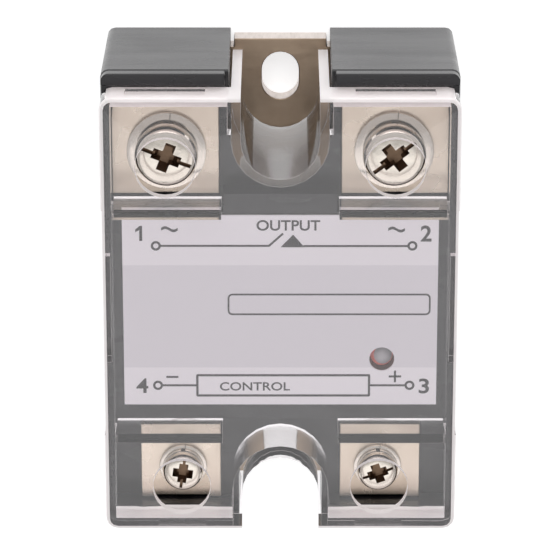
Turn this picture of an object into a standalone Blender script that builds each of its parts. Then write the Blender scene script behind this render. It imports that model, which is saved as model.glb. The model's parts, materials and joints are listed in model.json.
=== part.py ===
"""A panel-mounted solid state relay with a clear clip-on terminal cover.

The relay lies on its metal base plate. X runs across it, +Y points to the two output
terminals, -Y to the two control terminals, and Z rises from the underside of the base
plate to the front of the cover. The origin is at the middle of the underside.

All sizes below are in millimetres, and the helpers turn them into metres.
"""

import math

import bmesh
import bpy
from mathutils import Vector

MM = 0.001

# ------------------------------------------------------------------ clearances
SEAT = 0.1              # gap between two flat faces that rest on each other
FIT = 0.3               # gap around a piece that sits in a hole, slot or recess
OVERLAP = 0.5           # how far joined shapes run into each other
PAST = 5.0              # how far a cutter runs past the face it opens

# ------------------------------------------------------------------ overall sizes
BODY_WIDTH = 45.0
BODY_LENGTH = 62.0
BODY_HEIGHT = 20.7      # rim of the housing above the underside of the base plate
COVER_RISE = 5.4        # front of the cover above the housing's rim

# ------------------------------------------------------------------ base plate
PLATE_THICKNESS = 3.0
PLATE_CORNER = 1.0
PLATE_SIDE_LIP = 1.7    # housing wall left outside the plate, at the sides and output end
PLATE_CONTROL_LIP = 2.1
PLATE_NOSE_WIDTH = 12.0
PLATE_NOSE_LENGTH = 1.1
BOLT_SLOT_WIDTH = 4.8   # clears an M4 bolt
OVAL_SLOT_LENGTH = 6.35
OVAL_SLOT_INSET = 5.7   # centre of the closed slot, from the output end of the housing
OPEN_SLOT_INSET = 8.4   # end arc of the open slot, from the control end of the housing

# ------------------------------------------------------------------ housing
FOOT_GAP = 0.2          # the housing's foot stops short of the mounting surface
BODY_CORNER = 1.0
BODY_EDGE = 0.45
SIDE_WALL = 2.6
END_WALL = 2.6
WELL_WALL = 1.8
ROOF = 2.0              # thickness of the label platform and the pocket floors
SIDE_RIM = 1.2
END_RIM = 3.4
PLATFORM_DROP = 0.2     # label platform below the rim
POCKET_DEPTH = 4.1
OUTPUT_POCKET = 18.5    # from the output end to the label platform
CONTROL_POCKET = 15.5
PLATFORM_NOSE_WIDTH = 14.4
PLATFORM_NOSE_LENGTH = 2.4

# ------------------------------------------------------------------ cover
COVER_WALL = 1.3
COVER_SIDE_INSET = 0.05
COVER_END_INSET = 2.1
COVER_CORNER = 1.5
COVER_EDGE = 0.5
COVER_WAIST = 0.17      # the middle of the cover is this much narrower on each side
RIB_REACH = 1.7         # how far the cross ribs hang below the cover walls
RIB_GAP = 0.4           # between a rib and the edge of the label platform
RIB_START = 7.4         # inner end of a rib, from the middle
WELL_RADIUS = 4.9       # inside of both bolt wells
WELL_SKIRT = 1.25
OUTPUT_WELL_INSET = 7.7
CONTROL_WELL_INSET = 7.2
WELL_STEP = 0.5         # the housing's control notch, wider than the well above it
SKIRT_FLOOR_GAP = 0.4   # output skirt above the base plate
GUSSET = 0.45
GUSSET_LENGTH = 3.6
LATCH_FROM, LATCH_TO = -7.3, 7.6
LATCH_RECESS = 1.35
LATCH_DEPTH = 4.2       # recess in the housing's side, below the rim
LATCH_REACH = 4.0       # tongue of the cover, below its walls
OUTPUT_PANEL_WIDTH = 10.0
CONTROL_PANEL_WIDTH = 6.0
PANEL_DEPTH = 0.35
PANEL_MARGIN = 0.8

# ------------------------------------------------------------------ terminals
OUTPUT = dict(
    screw_side=8.15, screw_end=11.15,           # screw axis from the body's side and end
    access=3.8,
    pad=0.0, plate=1.2, plate_end=16.85, plate_inset=3.8, plate_side=None,
    leg_width=5.0, leg=0.8,
    boss=9.0, boss_depth=7.1,
    insert=7.0, insert_height=3.8,
    shank=2.0, below_head=8.3, head_radius=4.0, head_height=2.1,
    recess_length=4.6, recess_width=1.0, recess_depth=1.5,
    flat_radius=5.0, flat_height=0.6, spring_radius=3.6, spring_height=0.7,
)
CONTROL = dict(
    screw_side=9.85, screw_end=8.0,
    access=3.7,
    pad=0.7, plate=1.0, plate_end=12.9, plate_inset=3.7, plate_side=4.4,
    leg_width=4.0, leg=0.8,
    boss=7.4, boss_depth=7.3,
    insert=6.0, insert_height=3.8,
    shank=1.5, below_head=8.0, head_radius=2.6, head_height=1.7,
    recess_length=3.2, recess_width=0.8, recess_depth=1.1,
    flat_radius=3.1, flat_height=0.5, spring_radius=2.7, spring_height=0.6,
)
PLATE_WELL_GAP = 1.6    # terminal plates beside the cover's well skirt
HOLE_PLAY = 0.3         # terminal, washer and insert holes beyond the screw's shank
FOOT_LENGTH = 4.0       # output legs bend over the ceramic by this much
FOOT_HEIGHT = 0.8
LEG_THROUGH = 1.2       # control legs below the circuit board

# ------------------------------------------------------------------ label and lamp
LABEL_THICKNESS = 0.25
LABEL_SIDE_INSET = 2.5
LABEL_OUTPUT_GAP = 0.31
LABEL_CONTROL_GAP = 2.06
LED_RADIUS = 1.5
LED_SIDE = 9.5          # lamp axis from the body's side
LED_FROM_POCKET = 8.3   # lamp axis from the control pocket
LED_DROP = 0.4          # top of the lamp below the rim
LED_HEIGHT = 5.4
LED_FLANGE = 1.9
LED_FLANGE_HEIGHT = 1.0
LED_HOLE = 1.7

# ------------------------------------------------------------------ electronics
BOARD_UNDERSIDE = 11.0
BOARD_THICKNESS = 1.6
BOARD_SIDE_GAP = 2.9
BOARD_OUTPUT_GAP = 1.5  # board before the output pocket's inner wall
CERAMIC_THICKNESS = 0.8
CERAMIC_SIDE_GAP = 2.9
CERAMIC_WELL_GAP = 0.35
CERAMIC_LENGTH = 26.0
THYRISTOR_SPACING = 17.0
THYRISTOR_WIDTH = 10.0
THYRISTOR_BODY = 9.0
THYRISTOR_HEIGHT = 4.4
THYRISTOR_TAB = 5.6
THYRISTOR_TAB_HEIGHT = 1.2
THYRISTOR_FROM_FOOT = 0.7
THYRISTOR_PITCH = 2.54
LEAD_WIDTH = 0.8
LEAD = 0.5
LEAD_RUN = 2.0
RESIN_TOP = 8.0

SEGMENTS = 32
ARC_STEPS = 12          # steps in a half circle
CORNER_STEPS = 3

# ------------------------------------------------------------------ derived planes
SIDE = BODY_WIDTH / 2
END = BODY_LENGTH / 2
POCKET_FLOOR = BODY_HEIGHT - POCKET_DEPTH
PLATFORM = BODY_HEIGHT - PLATFORM_DROP
POCKET_SIDE = SIDE - SIDE_RIM
POCKET_END = END - END_RIM
OUTPUT_EDGE = END - OUTPUT_POCKET
CONTROL_EDGE = -END + CONTROL_POCKET
CAVITY_SIDE = SIDE - SIDE_WALL
CAVITY_END = END - END_WALL

COVER_FRONT = BODY_HEIGHT + COVER_RISE
COVER_FOOT = BODY_HEIGHT + FIT
COVER_CEILING = COVER_FRONT - COVER_WALL
COVER_SIDE = SIDE - COVER_SIDE_INSET
COVER_END = END - COVER_END_INSET

SKIRT_RADIUS = WELL_RADIUS + WELL_SKIRT
NOTCH_RADIUS = SKIRT_RADIUS + FIT
LOWER_NOTCH_RADIUS = WELL_RADIUS + WELL_STEP
OUTPUT_WELL = END - OUTPUT_WELL_INSET
CONTROL_WELL = -END + CONTROL_WELL_INSET

CERAMIC_BOTTOM = PLATE_THICKNESS + SEAT
CERAMIC_TOP = CERAMIC_BOTTOM + CERAMIC_THICKNESS
BOARD_TOP = BOARD_UNDERSIDE + BOARD_THICKNESS
BOARD_SEAT = BOARD_TOP + SEAT


# ================================================================== helpers
def clear_scene():
    for item in list(bpy.data.objects):
        bpy.data.objects.remove(item, do_unlink=True)


def collection(name):
    group = bpy.data.collections.new(name)
    bpy.context.scene.collection.children.link(group)
    return group


clear_scene()
PARTS = collection("solid_state_relay")
CUTTERS = collection("cutters")


def material(name, colour, roughness, metallic=0.0, alpha=1.0):
    """A plain Principled material. colour is sRGB, 0 to 255."""
    made = bpy.data.materials.new(name)
    made.use_nodes = True
    shader = made.node_tree.nodes["Principled BSDF"]
    linear = [(channel / 255) ** 2.2 for channel in colour]
    shader.inputs["Base Color"].default_value = (*linear, 1)
    shader.inputs["Roughness"].default_value = roughness
    shader.inputs["Metallic"].default_value = metallic
    shader.inputs["Alpha"].default_value = alpha
    return made


BLACK_PLASTIC = material("black_plastic", (46, 45, 48), 0.5)
CLEAR_PLASTIC = material("clear_plastic", (225, 222, 224), 0.08, alpha=0.3)
NICKEL = material("nickel_plated_metal", (209, 192, 180), 0.3, metallic=1.0)
STEEL = material("plated_steel", (200, 196, 192), 0.28, metallic=1.0)
BRASS = material("brass", (190, 160, 95), 0.35, metallic=1.0)
LABEL_FILM = material("label_film", (208, 206, 211), 0.45)
BOARD_LAMINATE = material("board_laminate", (38, 92, 60), 0.5)
CERAMIC = material("white_ceramic", (236, 234, 228), 0.5)
EPOXY = material("black_epoxy", (32, 32, 34), 0.45)
RED_LENS = material("red_lamp_lens", (170, 60, 55), 0.2)
FILM_CAPACITOR = material("film_capacitor_case", (196, 150, 60), 0.4)
RESISTOR_COAT = material("resistor_coat", (190, 170, 130), 0.45)
RESIN = material("potting_resin", (70, 66, 62), 0.35)


def add_object(name, mesh, group, surface=None):
    item = bpy.data.objects.new(name, mesh)
    group.objects.link(item)
    if surface:
        mesh.materials.append(surface)
    else:
        item.hide_render = True
        item.display_type = "WIRE"
    return item


def finish_mesh(name, bm, surface, smooth=False):
    """Put a bmesh built in millimetres into an object: a part if it has a surface."""
    bmesh.ops.scale(bm, vec=(MM, MM, MM), verts=bm.verts)
    bmesh.ops.recalc_face_normals(bm, faces=bm.faces)
    mesh = bpy.data.meshes.new(name)
    bm.to_mesh(mesh)
    bm.free()
    if smooth:
        mesh.shade_smooth()
        mesh.set_sharp_from_angle(angle=math.radians(35))
    return add_object(name, mesh, PARTS if surface else CUTTERS, surface)


def box(name, x, y, z, surface=None):
    """A block between the two ends given for each axis."""
    bm = bmesh.new()
    bmesh.ops.create_cube(bm, size=1)
    spans = [max(span) - min(span) for span in (x, y, z)]
    bmesh.ops.scale(bm, vec=spans, verts=bm.verts)
    bmesh.ops.translate(bm, vec=[sum(span) / 2 for span in (x, y, z)], verts=bm.verts)
    return finish_mesh(name, bm, surface)


def cylinder(name, centre, radius, z, surface=None, segments=SEGMENTS):
    bm = bmesh.new()
    bmesh.ops.create_cone(bm, cap_ends=True, segments=segments, radius1=radius, radius2=radius,
                          depth=z[1] - z[0])
    bmesh.ops.translate(bm, vec=(*centre, sum(z) / 2), verts=bm.verts)
    return finish_mesh(name, bm, surface, smooth=True)


def arc(centre, radius, start, end, steps):
    """Points on an arc, with its angles in degrees."""
    turns = [math.radians(start + (end - start) * step / steps) for step in range(steps + 1)]
    return [(centre[0] + radius * math.cos(turn), centre[1] + radius * math.sin(turn))
            for turn in turns]


def circle(centre, radius, segments=SEGMENTS):
    return arc(centre, radius, 0, 360, segments)[:-1]


def rectangle(x, y, corner=0.0):
    """A rectangle between two ends on each axis, with round corners where asked."""
    (left, right), (low, high) = sorted(x), sorted(y)
    if corner <= 0:
        return [(left, low), (right, low), (right, high), (left, high)]
    points = []
    for cx, cy, start in ((right - corner, low + corner, -90), (right - corner, high - corner, 0),
                          (left + corner, high - corner, 90), (left + corner, low + corner, 180)):
        points += arc((cx, cy), corner, start, start + 90, CORNER_STEPS)
    return points


def u_shape(radius, centre, end):
    """A U whose round end is at centre and whose legs run to end, both along Y."""
    if end > centre:
        bend = arc((0, centre), radius, 0, -180, ARC_STEPS)
    else:
        bend = arc((0, centre), radius, 0, 180, ARC_STEPS)
    return [(radius, end)] + bend + [(-radius, end)]


def outline_mesh(name, loops, low, high):
    """A flat 2D curve, thick from low to high: the first loop is the outline, the rest holes."""
    curve = bpy.data.curves.new(name, "CURVE")
    curve.dimensions = "2D"
    curve.fill_mode = "BOTH"
    curve.extrude = (high - low) / 2
    for loop in loops:
        spline = curve.splines.new("POLY")
        spline.points.add(len(loop) - 1)
        for point, place in zip(spline.points, loop):
            point.co = (*place, 0, 1)
        spline.use_cyclic_u = True
    holder = bpy.data.objects.new(name, curve)
    CUTTERS.objects.link(holder)
    evaluated = holder.evaluated_get(bpy.context.evaluated_depsgraph_get())
    mesh = bpy.data.meshes.new_from_object(evaluated)
    bm = bmesh.new()
    bm.from_mesh(mesh)
    bmesh.ops.remove_doubles(bm, verts=bm.verts, dist=0.0001)
    bmesh.ops.translate(bm, vec=(0, 0, (low + high) / 2), verts=bm.verts)
    bpy.data.objects.remove(holder, do_unlink=True)
    bpy.data.curves.remove(curve)
    bpy.data.meshes.remove(mesh)
    return bm


def prism(name, loops, low, high, surface=None, along="Z"):
    """An outline with holes, extruded along an axis; its loops lie in the other two axes."""
    bm = outline_mesh(name, loops, low, high)
    for vert in bm.verts:
        a, b, depth = vert.co
        vert.co = {"X": (depth, a, b), "Y": (a, depth, b), "Z": (a, b, depth)}[along]
    return finish_mesh(name, bm, surface)


def rounded_block(name, x, y, z, corner, edge, surface=None):
    """A block with round upright corners and a rounded upper rim."""
    bm = outline_mesh(name, [rectangle(x, y, corner)], *z)
    bmesh.ops.recalc_face_normals(bm, faces=bm.faces)
    top = max(vert.co.z for vert in bm.verts)
    level = [all(abs(vert.co.z - top) < 1e-4 for vert in item.verts) for item in bm.edges]
    rim = [item for item, flat in zip(bm.edges, level)
           if flat and item.calc_face_angle(0) > math.radians(60)]
    bmesh.ops.bevel(bm, geom=rim, offset=edge, segments=2, profile=0.5, affect="EDGES")
    return finish_mesh(name, bm, surface)


def turned(name, profile, surface):
    """A solid turned about Z; profile lists (radius, height) from the top down."""
    bm = bmesh.new()
    points = [bm.verts.new((radius * MM, 0, height * MM)) for radius, height in profile]
    for upper, lower in zip(points, points[1:]):
        bm.edges.new((upper, lower))
    mesh = bpy.data.meshes.new(name)
    bm.to_mesh(mesh)
    bm.free()
    item = add_object(name, mesh, PARTS, surface)
    spin = item.modifiers.new("turn", "SCREW")
    spin.steps = spin.render_steps = SEGMENTS
    spin.use_merge_vertices = True
    spin.merge_threshold = 1e-6
    spin.use_smooth_shade = False
    return item


def combine(target, tool, operation):
    change = target.modifiers.new(tool.name, "BOOLEAN")
    change.operation = operation
    change.object = tool
    change.solver = "EXACT"


def cut(target, *tools):
    for tool in tools:
        combine(target, tool, "DIFFERENCE")


def join(target, *tools):
    for tool in tools:
        combine(target, tool, "UNION")


def set_origin(item, place):
    """Move an object's origin to a place, in millimetres, without moving its shape."""
    origin = Vector(place) * MM
    for vert in item.data.vertices:
        vert.co -= origin - item.location
    item.location = origin


def spread(centre, width):
    return (centre - width / 2, centre + width / 2)


def grown(span, gap):
    return (min(span) - gap, max(span) + gap)


# ================================================================== terminal layout
class Terminal:
    """Where one terminal's pieces lie; end is 1 at the output and -1 at the control end."""

    def __init__(self, number, sizes, end, side):
        self.number, self.sizes, self.end, self.side = number, sizes, end, side
        self.x = side * (SIDE - sizes["screw_side"])
        self.y = end * (END - sizes["screw_end"])
        self.centre = (self.x, self.y)
        self.pad_top = POCKET_FLOOR + sizes["pad"]
        self.underside = self.pad_top + SEAT
        self.top = self.underside + sizes["plate"]
        outer = POCKET_SIDE - SEAT if sizes["plate_side"] is None else SIDE - sizes["plate_side"]
        self.plate_x = sorted((side * (SKIRT_RADIUS + PLATE_WELL_GAP), side * outer))
        self.plate_y = sorted((end * (END - sizes["plate_end"]), end * (END - sizes["plate_inset"])))
        inner = END - sizes["plate_end"]
        self.leg_x = spread(self.x, sizes["leg_width"])
        self.leg_y = sorted((end * (inner + SEAT), end * (inner + SEAT + sizes["leg"])))
        self.insert_z = (self.underside - 2 * SEAT - sizes["insert_height"], self.underside - 2 * SEAT)
        self.flat_z = (self.top + SEAT, self.top + SEAT + sizes["flat_height"])
        spring_low = self.flat_z[1] + SEAT
        self.spring_z = (spring_low, spring_low + sizes["spring_height"])
        self.seat = self.spring_z[1] + SEAT
        self.tip = self.seat - sizes["below_head"]
        self.hole = sizes["shank"] + HOLE_PLAY


TERMINALS = [Terminal(1, OUTPUT, 1, -1), Terminal(2, OUTPUT, 1, 1),
             Terminal(3, CONTROL, -1, 1), Terminal(4, CONTROL, -1, -1)]
OUTPUT_TERMINALS = [terminal for terminal in TERMINALS if terminal.end > 0]
CONTROL_TERMINALS = [terminal for terminal in TERMINALS if terminal.end < 0]
BOARD_END = max(terminal.y for terminal in CONTROL_TERMINALS) + CONTROL["boss"] / 2 + FIT
LED_CENTRE = (SIDE - LED_SIDE, CONTROL_EDGE + LED_FROM_POCKET)


# ================================================================== shells
def make_base_plate():
    half = SIDE - PLATE_SIDE_LIP - SEAT
    high = END - PLATE_SIDE_LIP - SEAT
    low = -END + PLATE_CONTROL_LIP + SEAT
    nose = PLATE_NOSE_WIDTH / 2
    slot = BOLT_SLOT_WIDTH / 2
    slot_centre = -END + OPEN_SLOT_INSET
    corner = PLATE_CORNER
    outline = (
        arc((half - corner, low + corner), corner, -90, 0, CORNER_STEPS)
        + arc((half - corner, high - corner), corner, 0, 90, CORNER_STEPS)
        + [(nose, high), (nose, high + PLATE_NOSE_LENGTH)]
        + [(-nose, high + PLATE_NOSE_LENGTH), (-nose, high)]
        + arc((-half + corner, high - corner), corner, 90, 180, CORNER_STEPS)
        + arc((-half + corner, low + corner), corner, 180, 270, CORNER_STEPS)
        + [(-slot, low)] + arc((0, slot_centre), slot, 180, 0, ARC_STEPS) + [(slot, low)]
    )
    reach = (OVAL_SLOT_LENGTH - BOLT_SLOT_WIDTH) / 2
    centre = END - OVAL_SLOT_INSET
    oval = (arc((0, centre + reach), slot, 0, 180, ARC_STEPS)
            + arc((0, centre - reach), slot, 180, 360, ARC_STEPS))
    return prism("base_plate", [outline, oval], 0, PLATE_THICKNESS, NICKEL)


def cut_pockets(housing):
    open_top = BODY_HEIGHT + PAST
    side, nose = POCKET_SIDE, PLATFORM_NOSE_WIDTH / 2
    nose_end = OUTPUT_EDGE + PLATFORM_NOSE_LENGTH
    output_pocket = [(-side, OUTPUT_EDGE), (-nose, OUTPUT_EDGE), (-nose, nose_end), (nose, nose_end),
                     (nose, OUTPUT_EDGE), (side, OUTPUT_EDGE), (side, POCKET_END), (-side, POCKET_END)]
    cut(housing,
        box("platform_cut", (-side, side), (-POCKET_END, POCKET_END), (PLATFORM, open_top)),
        prism("output_pocket", [output_pocket], POCKET_FLOOR, open_top),
        box("control_pocket", (-side, side), (-POCKET_END, CONTROL_EDGE), (POCKET_FLOOR, open_top)))


def cut_wells(housing):
    through = (-PAST, BODY_HEIGHT + PAST)
    far = END + PAST
    cut(housing,
        prism("output_notch", [u_shape(NOTCH_RADIUS, OUTPUT_WELL, far)], *through),
        prism("control_notch", [u_shape(LOWER_NOTCH_RADIUS, CONTROL_WELL, -far)], *through),
        prism("control_notch_top", [u_shape(NOTCH_RADIUS, CONTROL_WELL, -far)],
              POCKET_FLOOR, through[1]))


def cut_cavity(housing):
    """Hollow the housing from below, leaving the walls round the wells and the screw bosses."""
    far = END + PAST
    roof = POCKET_FLOOR - ROOF
    hollow = box("cavity", (-CAVITY_SIDE, CAVITY_SIDE), (-CAVITY_END, CAVITY_END), (-PAST, roof))
    keep_z = (-2 * PAST, roof + PAST)
    cut(hollow,
        prism("output_well_wall", [u_shape(NOTCH_RADIUS + WELL_WALL, OUTPUT_WELL, far)], *keep_z),
        prism("control_well_wall", [u_shape(LOWER_NOTCH_RADIUS + WELL_WALL, CONTROL_WELL, -far)],
              *keep_z))
    for terminal in TERMINALS:
        boss = terminal.sizes["boss"]
        low = POCKET_FLOOR - terminal.sizes["boss_depth"]
        cut(hollow, box(f"boss_{terminal.number}", spread(terminal.x, boss),
                        spread(terminal.y, boss), (low, roof + PAST)))
    upper = (CONTROL_EDGE + ROOF, OUTPUT_EDGE - ROOF)
    cut(housing, hollow,
        box("upper_cavity", (-CAVITY_SIDE, CAVITY_SIDE), upper, (roof - OVERLAP, PLATFORM - ROOF)),
        box("plate_rebate", spread(0, BODY_WIDTH - 2 * PLATE_SIDE_LIP),
            (-END + PLATE_CONTROL_LIP, END - PLATE_SIDE_LIP), (-PAST, PLATE_THICKNESS + SEAT)))


def cut_terminal_seats(housing):
    for terminal in TERMINALS:
        sizes, number = terminal.sizes, terminal.number
        open_top = terminal.pad_top + PAST
        if sizes["pad"]:
            join(housing, box(f"pad_{number}", grown(terminal.plate_x, -FIT),
                              grown(terminal.plate_y, -FIT), (POCKET_FLOOR - OVERLAP, terminal.pad_top)))
        seat = sizes["insert"] + 2 * FIT
        cut(housing,
            box(f"insert_seat_{number}", spread(terminal.x, seat), spread(terminal.y, seat),
                (terminal.insert_z[0] - SEAT, open_top)),
            cylinder(f"screw_bore_{number}", terminal.centre, terminal.hole,
                     (terminal.tip - FIT, open_top)),
            box(f"leg_slot_{number}", grown(terminal.leg_x, FIT), grown(terminal.leg_y, FIT),
                (POCKET_FLOOR - ROOF - OVERLAP, open_top)))


def make_housing():
    housing = rounded_block("housing", (-SIDE, SIDE), (-END, END), (FOOT_GAP, BODY_HEIGHT),
                            BODY_CORNER, BODY_EDGE, BLACK_PLASTIC)
    cut_pockets(housing)
    cut_wells(housing)
    cut_cavity(housing)
    cut_terminal_seats(housing)
    for side in (-1, 1):
        recess = (side * (SIDE - LATCH_RECESS), side * (SIDE + PAST))
        cut(housing, box(f"latch_recess_{side}", recess, (LATCH_FROM, LATCH_TO),
                         (BODY_HEIGHT - LATCH_DEPTH, BODY_HEIGHT + PAST)))
    cut(housing, cylinder("lamp_hole", LED_CENTRE, LED_HOLE, (PLATFORM - ROOF - OVERLAP,
                                                              BODY_HEIGHT + PAST)))
    return housing


def add_cover_ribs(cover):
    """Cross ribs, hanging from the front between the terminal bays and the label."""
    foot = COVER_FOOT - RIB_REACH
    inner_side = COVER_SIDE - COVER_WALL
    rib_side = POCKET_SIDE - FIT
    for side in (-1, 1):
        outline = [(side * x, z) for x, z in (
            (RIB_START, foot), (rib_side, foot), (rib_side, COVER_FOOT + SEAT),
            (inner_side + OVERLAP, COVER_FOOT + SEAT), (inner_side + OVERLAP, COVER_CEILING + OVERLAP),
            (RIB_START, COVER_CEILING + OVERLAP))]
        for end, edge in ((1, OUTPUT_EDGE), (-1, CONTROL_EDGE)):
            rib = sorted((edge + end * RIB_GAP, edge + end * (RIB_GAP + COVER_WALL)))
            join(cover, prism(f"rib_{side}_{end}", [outline], *rib, along="Y"))


def add_cover_wells(cover):
    """The two U-shaped skirts that line the mounting bolts' wells."""
    skirt_top = COVER_CEILING + OVERLAP
    output_foot = PLATE_THICKNESS + SKIRT_FLOOR_GAP
    join(cover,
         prism("output_skirt", [u_shape(SKIRT_RADIUS, OUTPUT_WELL, COVER_END)],
               output_foot, skirt_top),
         prism("control_skirt", [u_shape(SKIRT_RADIUS, CONTROL_WELL, -COVER_END)],
               POCKET_FLOOR + FIT, skirt_top))
    for side in (-1, 1):
        join(cover, box(f"gusset_{side}", (side * (SKIRT_RADIUS - OVERLAP), side * (SKIRT_RADIUS + GUSSET)),
                        (POCKET_END - GUSSET_LENGTH, POCKET_END + OVERLAP), (COVER_FOOT, skirt_top)))
    through = (-PAST, COVER_FRONT + PAST)
    far = END + PAST
    cut(cover,
        prism("output_well", [u_shape(WELL_RADIUS, OUTPUT_WELL, far)], *through),
        prism("control_well", [u_shape(WELL_RADIUS, CONTROL_WELL, -far)], *through))


def cut_cover_openings(cover):
    for terminal in TERMINALS:
        cut(cover, cylinder(f"access_{terminal.number}", terminal.centre, terminal.sizes["access"],
                            (COVER_CEILING - OVERLAP, COVER_FRONT + PAST)))
        width = OUTPUT_PANEL_WIDTH if terminal.end > 0 else CONTROL_PANEL_WIDTH
        face = COVER_END - PANEL_DEPTH
        cut(cover, box(f"wire_panel_{terminal.number}", spread(terminal.x, width),
                       (terminal.end * face, terminal.end * (COVER_END + PAST)),
                       (COVER_FOOT + PANEL_MARGIN, COVER_CEILING - PANEL_MARGIN / 2)))


def make_cover():
    cover = rounded_block("cover", (-COVER_SIDE, COVER_SIDE), (-COVER_END, COVER_END),
                          (COVER_FOOT, COVER_FRONT), COVER_CORNER, COVER_EDGE, CLEAR_PLASTIC)
    inner_side, inner_end = COVER_SIDE - COVER_WALL, COVER_END - COVER_WALL
    cut(cover, box("cover_inside", (-inner_side, inner_side), (-inner_end, inner_end),
                   (-PAST, COVER_CEILING)))
    add_cover_ribs(cover)
    for side in (-1, 1):
        tongue = (side * (SIDE - LATCH_RECESS + FIT), side * COVER_SIDE)
        join(cover, box(f"latch_tongue_{side}", tongue, grown((LATCH_FROM, LATCH_TO), -FIT),
                        (COVER_FOOT - LATCH_REACH, COVER_FOOT + OVERLAP)))
        waist = (side * (COVER_SIDE - COVER_WAIST), side * (COVER_SIDE + PAST))
        cut(cover, box(f"waist_{side}", waist,
                       (CONTROL_EDGE - RIB_GAP, OUTPUT_EDGE + RIB_GAP + COVER_WALL),
                       (-PAST, COVER_FRONT + PAST)))
    add_cover_wells(cover)
    cut_cover_openings(cover)
    set_origin(cover, (0, 0, COVER_FOOT))
    return cover


def make_label():
    side = SIDE - LABEL_SIDE_INSET
    bottom = PLATFORM + SEAT
    outline = rectangle((-side, side), (CONTROL_EDGE + LABEL_CONTROL_GAP, OUTPUT_EDGE - LABEL_OUTPUT_GAP))
    lamp = circle(LED_CENTRE, LED_RADIUS + SEAT)
    return prism("label_plate", [outline, lamp], bottom, bottom + LABEL_THICKNESS, LABEL_FILM)


# ================================================================== terminals
def make_terminal_plate(terminal):
    """The screw plate with its leg; an output leg ends in a foot over the ceramic."""
    kind = "output" if terminal.end > 0 else "control"
    name = f"{kind}_terminal_{terminal.number}"
    plate = prism(name, [rectangle(terminal.plate_x, terminal.plate_y),
                         circle(terminal.centre, terminal.hole)],
                  terminal.underside, terminal.top, NICKEL)
    if terminal.end > 0:
        foot = CERAMIC_TOP + FIT
        reach = (min(terminal.leg_y) - FOOT_LENGTH, max(terminal.leg_y))
        bend = [(reach[0], foot), (reach[1], foot), (reach[1], terminal.top - SEAT),
                (min(terminal.leg_y), terminal.top - SEAT), (min(terminal.leg_y), foot + FOOT_HEIGHT),
                (reach[0], foot + FOOT_HEIGHT)]
        leg = prism(f"{name}_leg", [bend], *terminal.leg_x, along="X")
    else:
        leg = box(f"{name}_leg", terminal.leg_x, terminal.leg_y,
                  (BOARD_UNDERSIDE - LEG_THROUGH, terminal.top - SEAT))
    join(plate, leg)
    return plate


def make_insert(terminal):
    square = rectangle(spread(terminal.x, terminal.sizes["insert"]),
                       spread(terminal.y, terminal.sizes["insert"]))
    return prism(f"threaded_insert_{terminal.number}", [square, circle(terminal.centre, terminal.hole)],
                 *terminal.insert_z, BRASS)


def make_washers(terminal):
    sizes, number = terminal.sizes, terminal.number
    flat = prism(f"flat_washer_{number}", [circle(terminal.centre, sizes["flat_radius"]),
                                           circle(terminal.centre, terminal.hole)],
                 *terminal.flat_z, STEEL)
    spring = prism(f"spring_washer_{number}", [circle(terminal.centre, sizes["spring_radius"]),
                                               circle(terminal.centre, terminal.hole)],
                   *terminal.spring_z, STEEL)
    split = (terminal.x, terminal.x + sizes["spring_radius"] + PAST)
    cut(spring, box(f"washer_split_{number}", split, spread(terminal.y, sizes["spring_height"]),
                    grown(terminal.spring_z, PAST)))
    for washer, height in ((flat, terminal.flat_z[0]), (spring, terminal.spring_z[0])):
        set_origin(washer, (*terminal.centre, height))
    return flat, spring


def make_screw(terminal):
    """A pan-head screw with a cross recess, turned about the joint's axis."""
    sizes = terminal.sizes
    head, height, shank = sizes["head_radius"], sizes["head_height"], sizes["shank"]
    edge = height * 0.45
    crown = height - edge
    dome = [(0, height)] + [(head - edge + edge * math.sin(math.radians(turn)),
                             crown + edge * math.cos(math.radians(turn)))
                            for turn in (0, 30, 60, 90)]
    length = sizes["below_head"]
    point = shank * 0.25
    shaft = [(head, 0), (shank, 0), (shank, point - length), (shank - point, -length), (0, -length)]
    screw = turned(f"terminal_screw_{terminal.number}", dome + shaft, STEEL)
    screw.location = Vector((*terminal.centre, terminal.seat)) * MM
    top = terminal.seat + height
    depth = (top - sizes["recess_depth"], top + PAST)
    long, wide = sizes["recess_length"], sizes["recess_width"]
    cut(screw,
        box(f"recess_{terminal.number}_x", spread(terminal.x, long), spread(terminal.y, wide), depth),
        box(f"recess_{terminal.number}_y", spread(terminal.x, wide), spread(terminal.y, long), depth))
    return screw


# ================================================================== electronics
def make_board():
    side = CAVITY_SIDE - BOARD_SIDE_GAP
    far = OUTPUT_EDGE - BOARD_OUTPUT_GAP
    board = box("circuit_board", (-side, side), (BOARD_END, far), (BOARD_UNDERSIDE, BOARD_TOP),
                BOARD_LAMINATE)
    well_wall = LOWER_NOTCH_RADIUS + WELL_WALL + FIT
    cut(board, prism("board_well", [u_shape(well_wall, CONTROL_WELL, -END)],
                     BOARD_UNDERSIDE - PAST, BOARD_TOP + PAST))
    for terminal in CONTROL_TERMINALS:
        cut(board, box(f"board_slot_{terminal.number}", grown(terminal.leg_x, FIT),
                       (BOARD_END - PAST, max(terminal.leg_y) + FIT),
                       (BOARD_UNDERSIDE - PAST, BOARD_TOP + PAST)))
    return board


def ceramic_span():
    high = OUTPUT_WELL - NOTCH_RADIUS - WELL_WALL - CERAMIC_WELL_GAP
    side = CAVITY_SIDE - CERAMIC_SIDE_GAP
    return (-side, side), (high - CERAMIC_LENGTH, high)


def make_ceramic():
    return box("ceramic_insulator", *ceramic_span(), (CERAMIC_BOTTOM, CERAMIC_TOP), CERAMIC)


def thyristor_spans(side):
    """X and Y ends of one thyristor's case, with its tab toward the output end."""
    foot = min(OUTPUT_TERMINALS[0].leg_y) - FOOT_LENGTH
    tab_end = foot - THYRISTOR_FROM_FOOT
    return (spread(side * THYRISTOR_SPACING / 2, THYRISTOR_WIDTH),
            (tab_end - THYRISTOR_TAB - THYRISTOR_BODY, tab_end))


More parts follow.
